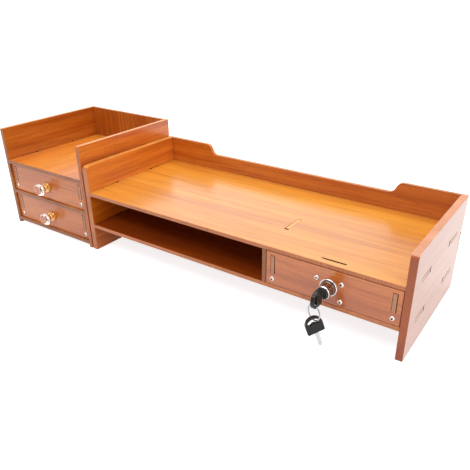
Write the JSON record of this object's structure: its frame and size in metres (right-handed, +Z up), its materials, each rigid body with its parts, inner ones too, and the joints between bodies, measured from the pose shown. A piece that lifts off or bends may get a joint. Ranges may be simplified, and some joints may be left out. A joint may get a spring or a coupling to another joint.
{
  "type": "monitor stand with drawer",
  "caption": "Low wood-grain monitor stand with a lockable drawer, open shelf and back lip, and a narrow drawer cabinet with crystal knobs beside it.",
  "frame": {"origin": "on the desk surface, at the middle of the bounding box of the stand, cabinet, knobs and hanging key", "axes": "+X along the stand to the right as seen from the front, +Y from the drawer fronts to the back, +Z up"},
  "size_m": [0.7024, 0.2444, 0.1665],
  "materials": {
    "cherry_board": "cherry woodgrain melamine, satin gloss",
    "thin_board": "thin cherry woodgrain fibreboard",
    "nickel_screw": "nickel plated",
    "zinc_plate": "zinc plated",
    "chromed_zinc": "polished chrome",
    "nickel_plug": "polished nickel",
    "key_blank": "nickel plated, milled edges",
    "ring_wire": "bright wire",
    "black_plastic": "moulded, satin",
    "polished_brass": "polished",
    "clear_crystal": "cut and polished"
  },
  "bodies": {
    "stand": {"cabinet_back_panel": "cherry_board", "cabinet_bottom_board": "cherry_board", "cabinet_middle_board": "cherry_board", "cabinet_side_left": "cherry_board", "cabinet_side_right": "cherry_board", "cabinet_tray_board": "cherry_board", "stand_back_panel": "cherry_board", "stand_divider": "cherry_board", "stand_lower_board": "cherry_board", "stand_side_left": "cherry_board", "stand_side_right": "cherry_board", "stand_top_board": "cherry_board"},
    "stand_drawer": {"stand_drawer_front": "cherry_board", "stand_drawer_back": "cherry_board", "stand_drawer_left": "cherry_board", "stand_drawer_right": "cherry_board", "stand_drawer_floor": "thin_board", "stand_drawer_screws": "nickel_screw", "stand_drawer_nuts": "zinc_plate", "lock_flange": "zinc_plate", "lock_case": "zinc_plate", "lock_barrel": "chromed_zinc", "lock_ring": "chromed_zinc", "lock_screws": "nickel_screw"},
    "lock_plug": {"lock_plug": "nickel_plug", "lock_cam": "zinc_plate"},
    "lock_bolt": {"lock_bolt": "zinc_plate"},
    "key": {"key_bow": "black_plastic", "key_blade": "key_blank"},
    "key_ring": {"key_ring": "ring_wire"},
    "spare_key": {"spare_key_bow": "black_plastic", "spare_key_blade": "key_blank"},
    "upper_drawer": {"upper_drawer_front": "cherry_board", "upper_drawer_back": "cherry_board", "upper_drawer_left": "cherry_board", "upper_drawer_right": "cherry_board", "upper_drawer_floor": "thin_board", "upper_drawer_screws": "nickel_screw", "upper_drawer_nuts": "zinc_plate", "upper_drawer_knob_foot": "polished_brass", "upper_drawer_knob_crystal": "clear_crystal", "upper_drawer_knob_screw": "nickel_screw"},
    "lower_drawer": {"lower_drawer_front": "cherry_board", "lower_drawer_back": "cherry_board", "lower_drawer_left": "cherry_board", "lower_drawer_right": "cherry_board", "lower_drawer_floor": "thin_board", "lower_drawer_screws": "nickel_screw", "lower_drawer_nuts": "zinc_plate", "lower_drawer_knob_foot": "polished_brass", "lower_drawer_knob_crystal": "clear_crystal", "lower_drawer_knob_screw": "nickel_screw"}
  },
  "joints": [
    {"name": "stand_drawer_slide", "type": "slide", "parent": "stand", "child": "stand_drawer", "axis": [0, -1, 0], "range_m": [0, 0.15]},
    {"name": "upper_drawer_slide", "type": "slide", "parent": "stand", "child": "upper_drawer", "axis": [0, -1, 0], "range_m": [0, 0.15]},
    {"name": "lower_drawer_slide", "type": "slide", "parent": "stand", "child": "lower_drawer", "axis": [0, -1, 0], "range_m": [0, 0.15]},
    {"name": "lock_turn", "type": "hinge", "parent": "stand_drawer", "child": "lock_plug", "pos_m": [0.25315, -0.0778, 0.0663], "axis": [0, 1, 0], "range_deg": [0, 90]},
    {"name": "lock_bolt_slide", "type": "slide", "parent": "stand_drawer", "child": "lock_bolt", "axis": [0, 0, 1], "range_m": [0, 0.0055]},
    {"name": "key_pull", "type": "slide", "parent": "lock_plug", "child": "key", "axis": [0, -1, 0], "range_m": [0, 0.025]},
    {"name": "ring_swing", "type": "hinge", "parent": "key", "child": "key_ring", "pos_m": [0.25315, -0.11235, 0.06071], "axis": [0.9205, -0.3907, 0], "range_deg": [-20, 50]},
    {"name": "spare_key_swing", "type": "hinge", "parent": "key_ring", "child": "spare_key", "pos_m": [0.25315, -0.11235, 0.04071], "axis": [0.9205, -0.3907, 0], "range_deg": [-25, 30]}
  ],
  "couplings": [
    {"joint": "lock_bolt_slide", "follows": "lock_turn", "m_per_rad": 0.0035}
  ]
}
